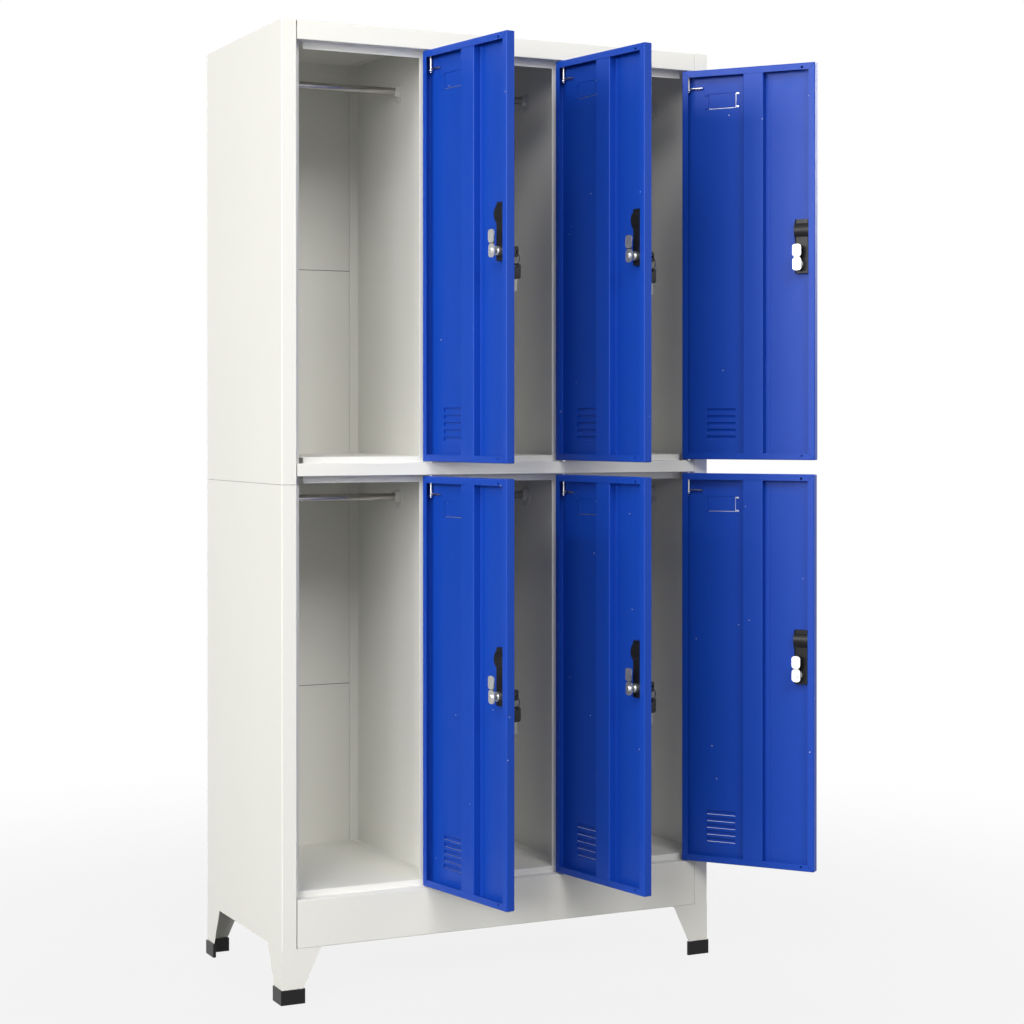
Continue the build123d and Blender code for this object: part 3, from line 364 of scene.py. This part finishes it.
# ------------------------------------------------------------------ legs, caps and bolts
# Tapered angle legs in the same coat, a black moulded cap pushed over each foot and
# zinc-plated bolts up through the base.
PLASTIC_INDEX = 1.49
PLASTIC_SHEEN_DRIFT = 0.07
PLASTIC_DEEPER = 0.8
PLASTIC_LIGHTER = 1.15
METAL_DEEPER = 0.88
METAL_BRIGHTER_BY = 0.05
METAL_DULLER_BY = 0.08
METAL_LINE_STRENGTH = 0.12
FINE_RELIEF = 0.0001


def moulded_plastic(name, colour, roughness, grain_strength, shine):
    """Injection-moulded plastic with a faint spark-eroded grain and uneven gloss."""
    plastic, tree, surface, place = new_finish(name)
    surface.inputs["IOR"].default_value = PLASTIC_INDEX
    surface.inputs["Specular IOR Level"].default_value = shine
    cloud = noise(tree, place, scale=90.0, detail=3.0)
    grain = noise(tree, place, scale=2200.0, detail=1.0)
    deeper = [PLASTIC_DEEPER * channel for channel in colour]
    lighter = [PLASTIC_LIGHTER * channel for channel in colour]
    tree.links.new(two_tones(tree, cloud, deeper, lighter), surface.inputs["Base Color"])
    vary_sheen(
        tree, surface, cloud, roughness - PLASTIC_SHEEN_DRIFT, roughness + PLASTIC_SHEEN_DRIFT
    )
    raise_grain(tree, surface, grain, grain_strength, FINE_RELIEF)
    return plastic


def plated_metal(name, colour, roughness, drawn_along):
    """Plated steel or die-cast zinc: bright, with fine lines along the way it was drawn."""
    metal, tree, surface, place = new_finish(name)
    surface.inputs["Metallic"].default_value = 1.0
    stretch = tree.nodes.new("ShaderNodeMapping")
    stretch.inputs["Scale"].default_value = drawn_along
    tree.links.new(place, stretch.inputs["Vector"])
    cloud = noise(tree, place, scale=45.0, detail=3.0)
    lines = noise(tree, stretch.outputs["Vector"], scale=260.0, detail=3.0)
    deeper = [METAL_DEEPER * channel for channel in colour]
    tree.links.new(two_tones(tree, cloud, deeper, colour), surface.inputs["Base Color"])
    vary_sheen(tree, surface, lines, roughness - METAL_BRIGHTER_BY, roughness + METAL_DULLER_BY)
    raise_grain(tree, surface, lines, METAL_LINE_STRENGTH, FINE_RELIEF)
    return metal


black_plastic = moulded_plastic(
    "black_plastic", (0.008, 0.008, 0.009), roughness=0.36, grain_strength=0.20, shine=0.25
)
zinc_plate = plated_metal("zinc_plate", (0.80, 0.79, 0.77), 0.27, drawn_along=(1.0, 1.0, 0.15))
for end in ("front", "rear"):
    for hand in ("left", "right"):
        coat_node(f"leg_{end}_{hand}", carcass_coat)
coat_node("foot_caps", black_plastic)
coat_node("leg_bolts", zinc_plate)

# ------------------------------------------------------------------ rods and sockets
# A thin chromed steel tube across each compartment.  Its ends lie in the open-topped
# cups of two white moulded sockets, so it lifts out by hand.
rod_chrome = plated_metal("rod_chrome", (0.47, 0.45, 0.44), 0.20, drawn_along=(0.05, 1.0, 1.0))
white_plastic = moulded_plastic(
    "white_plastic", (0.72, 0.72, 0.69), roughness=0.38, grain_strength=0.15, shine=0.5
)
coat_node("hanging_rods", rod_chrome)
coat_node("rod_sockets", white_plastic)

# ------------------------------------------------------------------ doors
# Each door is a pan folded from one sheet with a hat-section stiffener spot-welded up
# the middle, both powder coated deep blue.  It hangs on two zinc-plated pins.  The far
# clinched tabs and the floors of the lower and far grooves of its card frame carry a
# painted glint in bright zinc.
DOORS = (
    "upper_left",
    "upper_middle",
    "upper_right",
    "lower_left",
    "lower_middle",
    "lower_right",
)
DOOR_COAT = (0.006, 0.058, 0.425)
DOOR_COAT_DEEPER = (0.005, 0.052, 0.390)
CARD_TOP = 0.042
CARD_BOTTOM = 0.079
CARD_LOW_GROOVE = 0.0735
CARD_NEAR = 0.035
CARD_FAR_GROOVE = 0.0972
CARD_FAR = 0.108
TAB_DEPTH = 0.0040
GROOVE_DEPTH = 0.0050
UP = Vector((0.0, 0.0, 1.0))

joints = {joint["name"]: joint for joint in frame["joints"]}
door_coat = powder_coat(
    "door_powder_coat",
    DOOR_COAT,
    DOOR_COAT_DEEPER,
    roughness=0.42,
    peel=0.30,
    shine=0.24,
    chips=True,
)
# Real zinc on the lock cams; on the card frames the same finish is a painted glint.
zinc_and_painted_glint = plated_metal("zinc_and_painted_glint", (0.76, 0.77, 0.77), 0.38, drawn_along=(1.0, 1.0, 0.2))


def painted_glint_on_card_frame(face, hinge_place, outward, door_top):
    """Pick the far clinched tabs and the floor of the lower and far grooves of the frame for a
    painted glint.
    """
    spot = face.center - hinge_place
    depth = spot.dot(outward)
    across = abs(spot.dot(outward.cross(UP)))
    down = door_top - face.center.z
    if not (CARD_TOP < down < CARD_BOTTOM and CARD_NEAR < across < CARD_FAR):
        return False
    if depth < TAB_DEPTH:
        return across > CARD_FAR_GROOVE
    floor = depth > GROOVE_DEPTH and face.normal.dot(outward) < -SQUARELY
    return floor and (across > CARD_FAR_GROOVE or down > CARD_LOW_GROOVE)


for door in DOORS:
    coat_node(f"door_panel_{door}", door_coat)
    coat_node(f"stiffener_{door}", door_coat)
    coat_node(f"hinge_pins_{door}", zinc_plate)
    hinge_place = Vector(joints[f"door_{door}_hinge"]["pos_m"])
    outward = Vector(joints[f"lock_{door}_turn"]["axis"])
    door_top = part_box(f"door_panel_{door}")[1][2]
    # Painted glint: the far tabs and the lower and far groove floors of the card frame get bright
    # zinc.
    recoat_faces(
        f"door_panel_{door}",
        zinc_and_painted_glint,
        lambda face: painted_glint_on_card_frame(face, hinge_place, outward, door_top),
    )

# ------------------------------------------------------------------ handles and locks
# A black moulded finger recess with the lock block under it; a zinc plug and stepped cam
# turn with the key, whose bow is black plastic and whose blade is plated.
NECK_LOW = 0.0122
NECK_HIGH = 0.0265
NECK_DEPTH = 0.0229
KEY_SHOULDER = 0.0069

# Dark plated steel for the key blades; on the cams' necks the same finish stands in as painted
# shade.
dark_metal_and_painted_shade = plated_metal("dark_metal_and_painted_shade", (0.20, 0.20, 0.19), 0.38, drawn_along=(1.0, 1.0, 0.4))
for door in DOORS:
    lock = joints[f"lock_{door}_turn"]
    lock_place = Vector(lock["pos_m"])
    outward = Vector(lock["axis"])
    coat_node(f"handle_{door}", black_plastic)
    coat_node(f"lock_cam_{door}", zinc_and_painted_glint)
    coat_node(f"key_{door}", black_plastic)
    # Painted shade: the recessed neck of the stepped cam gets the dark steel finish in place of
    # the shade in its step.
    recoat_faces(
        f"lock_cam_{door}",
        dark_metal_and_painted_shade,
        lambda face: NECK_LOW < face.center.z - lock_place.z < NECK_HIGH
        and (lock_place - face.center).dot(outward) < NECK_DEPTH,
    )
    recoat_faces(
        f"key_{door}",
        dark_metal_and_painted_shade,
        lambda face: (face.center - lock_place).dot(outward) < KEY_SHOULDER,
    )

# ------------------------------------------------------------------ split rings and spare keys
# A two-turn ring of springy round wire hangs from the hole in the bow and carries the
# second key: a moulded black bow on a blade with its cuts filed in one edge.
WIRE = 0.0011
WIRE_SIDES = 10
RING_RADIUS = 0.0114
RING_TURNS = 2
RING_STEPS = 120
RING_ENDS_TURNED = 35
HOLE_OUT = 0.030
HOLE_RADIUS = 0.0025
HOLE_SIDES = 28
HANGING_SLACK = 0.0003
BOW_WIDTH = 0.020
BOW_LENGTH = 0.028
BOW_THICKNESS = 0.005
BOW_CORNER = 0.005
BOW_RIM = 0.0006
BOW_RIM_ANGLE = 1.2
BLADE_WIDTH = 0.007
BLADE_LENGTH = 0.022
BLADE_THICKNESS = 0.002
BLADE_SEAT = 0.0006
CUTS = (
    0.0, 0.0, 0.0012, 0.0004, 0.0018, 0.0008, 0.0020, 0.0010, 0.0015, 0.0003, 0.0022
)
SAME_ROW_DIGITS = 6
SHARP_EDGE = math.radians(35)
RING_DROP = RING_RADIUS + HOLE_RADIUS - WIRE / 2 - HANGING_SLACK
SPARE_DROP = RING_DROP + RING_RADIUS + HOLE_RADIUS - WIRE / 2 - HANGING_SLACK
CENTRE = (0.0, 0.0, 0.0)


def thicken(shape, thickness):
    """Give a flat outline its thickness, half to each side."""
    raised = bmesh.ops.extrude_face_region(shape, geom=shape.faces[:])
    top = [part for part in raised["geom"] if isinstance(part, bmesh.types.BMVert)]
    bmesh.ops.translate(shape, verts=top, vec=(0.0, 0.0, thickness))
    bmesh.ops.translate(shape, verts=shape.verts, vec=(0.0, 0.0, -thickness / 2))
    bmesh.ops.recalc_face_normals(shape, faces=shape.faces)


def split_ring(shape):
    """Two close turns of wire about the door's outward normal, capped at both ends."""
    wire = bmesh.ops.create_circle(shape, cap_ends=False, segments=WIRE_SIDES, radius=WIRE / 2)
    stand_up = Matrix.Rotation(math.pi / 2, 3, "X")
    bmesh.ops.rotate(shape, verts=wire["verts"], cent=CENTRE, matrix=stand_up)
    bmesh.ops.translate(shape, verts=wire["verts"], vec=(RING_RADIUS, -WIRE, 0.0))
    bmesh.ops.spin(
        shape,
        geom=wire["verts"] + shape.edges[:],
        cent=CENTRE,
        axis=(0, 1, 0),
        dvec=(0, 2 * WIRE / RING_STEPS, 0),
        angle=RING_TURNS * 2 * math.pi,
        steps=RING_STEPS,
        use_merge=False,
    )
    ends = [edge for edge in shape.edges if edge.is_boundary]
    bmesh.ops.holes_fill(shape, edges=ends, sides=0)
    turn = Matrix.Rotation(math.radians(RING_ENDS_TURNED), 3, "Y")
    bmesh.ops.rotate(shape, verts=shape.verts, cent=CENTRE, matrix=turn)


def bow(shape):
    """Rounded plate with the ring hole near its upper end and softened rims."""
    bmesh.ops.create_grid(shape, x_segments=1, y_segments=1, size=0.5)
    bmesh.ops.scale(shape, verts=shape.verts, vec=(BOW_WIDTH, BOW_LENGTH, 1.0))
    bmesh.ops.bevel(
        shape,
        geom=shape.verts[:],
        affect="VERTICES",
        offset=BOW_CORNER,
        segments=8,
        profile=0.5,
        material=-1,
    )
    bmesh.ops.delete(shape, geom=shape.faces[:], context="FACES_ONLY")
    hole = bmesh.ops.create_circle(
        shape, cap_ends=False, segments=HOLE_SIDES, radius=HOLE_RADIUS
    )
    hole_place = (0.0, BOW_LENGTH / 2 - BOW_CORNER, 0.0)
    bmesh.ops.translate(shape, verts=hole["verts"], vec=hole_place)
    bmesh.ops.triangle_fill(shape, edges=shape.edges[:], use_beauty=True)
    thicken(shape, BOW_THICKNESS)
    rims = [edge for edge in shape.edges if edge.calc_face_angle(0.0) > BOW_RIM_ANGLE]
    bmesh.ops.bevel(
        shape, geom=rims, affect="EDGES", offset=BOW_RIM, segments=3, profile=0.5, material=-1
    )


def blade(shape):
    """Flat blade below the bow, with its cuts along one edge."""
    bmesh.ops.create_grid(shape, x_segments=1, y_segments=len(CUTS) - 1, size=0.5)
    bmesh.ops.scale(shape, verts=shape.verts, vec=(BLADE_WIDTH, BLADE_LENGTH, 1.0))
    rows = sorted({round(vert.co.y, SAME_ROW_DIGITS) for vert in shape.verts}, reverse=True)
    for vert in shape.verts:
        row = rows.index(round(vert.co.y, SAME_ROW_DIGITS))
        if vert.co.x > 0:
            vert.co.x -= CUTS[row]
    below_bow = (0.0, -(BOW_LENGTH + BLADE_LENGTH) / 2 + BLADE_SEAT, 0.0)
    bmesh.ops.translate(shape, verts=shape.verts, vec=below_bow)
    thicken(shape, BLADE_THICKNESS)


def settle_order(shape):
    """Number edges and faces by their corners, so that every run gives the same mesh."""
    shape.verts.index_update()
    for parts in (shape.edges, shape.faces):
        ordered = sorted(parts, key=lambda part: sorted(vert.index for vert in part.verts))
        for number, part in enumerate(ordered):
            part.index = number
        parts.sort()


def hang_on_key(name, door, make, finish, place, facing):
    """Shape a piece, put it at the key's ring hole and let it turn with the lock."""
    lock = joints[f"lock_{door}_turn"]
    outward = Vector(lock["axis"])
    along = outward.cross(UP)
    shape = bmesh.new()
    make(shape)
    bmesh.ops.transform(shape, matrix=facing, verts=shape.verts)
    bmesh.ops.translate(shape, verts=shape.verts, vec=place)
    stand = Matrix((along, outward, UP)).transposed().to_4x4()
    stand.translation = Vector(lock["pos_m"])
    bmesh.ops.transform(shape, matrix=stand, verts=shape.verts)
    bmesh.ops.recalc_face_normals(shape, faces=shape.faces)
    for face in shape.faces:
        face.smooth = True
    for edge in shape.edges:
        edge.smooth = edge.calc_face_angle(0.0) < SHARP_EDGE
    settle_order(shape)
    mesh = bpy.data.meshes.new(name)
    shape.to_mesh(mesh)
    shape.free()
    mesh.materials.append(finish)
    piece = bpy.data.objects.new(name, mesh)
    scene.collection.objects.link(piece)
    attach(piece, f"lock_{door}")


spring_steel = plated_metal("spring_steel", (0.74, 0.73, 0.71), 0.18, drawn_along=(1.0, 1.0, 1.0))
upright = Matrix.Identity(4)
edge_on = Matrix.Rotation(math.pi / 2, 4, "Z") @ Matrix.Rotation(math.pi / 2, 4, "X")
ring_place = Vector((0.0, HOLE_OUT, -RING_DROP))
spare_place = Vector((0.0, HOLE_OUT, -SPARE_DROP - BOW_LENGTH / 2 + BOW_CORNER))
for door in ("upper_left", "upper_middle", "lower_left", "lower_middle"):
    hang_on_key(f"split_ring_{door}", door, split_ring, spring_steel, ring_place, upright)
    hang_on_key(f"spare_key_bow_{door}", door, bow, black_plastic, spare_place, edge_on)
    hang_on_key(f"spare_key_blade_{door}", door, blade, dark_metal_and_painted_shade, spare_place, edge_on)
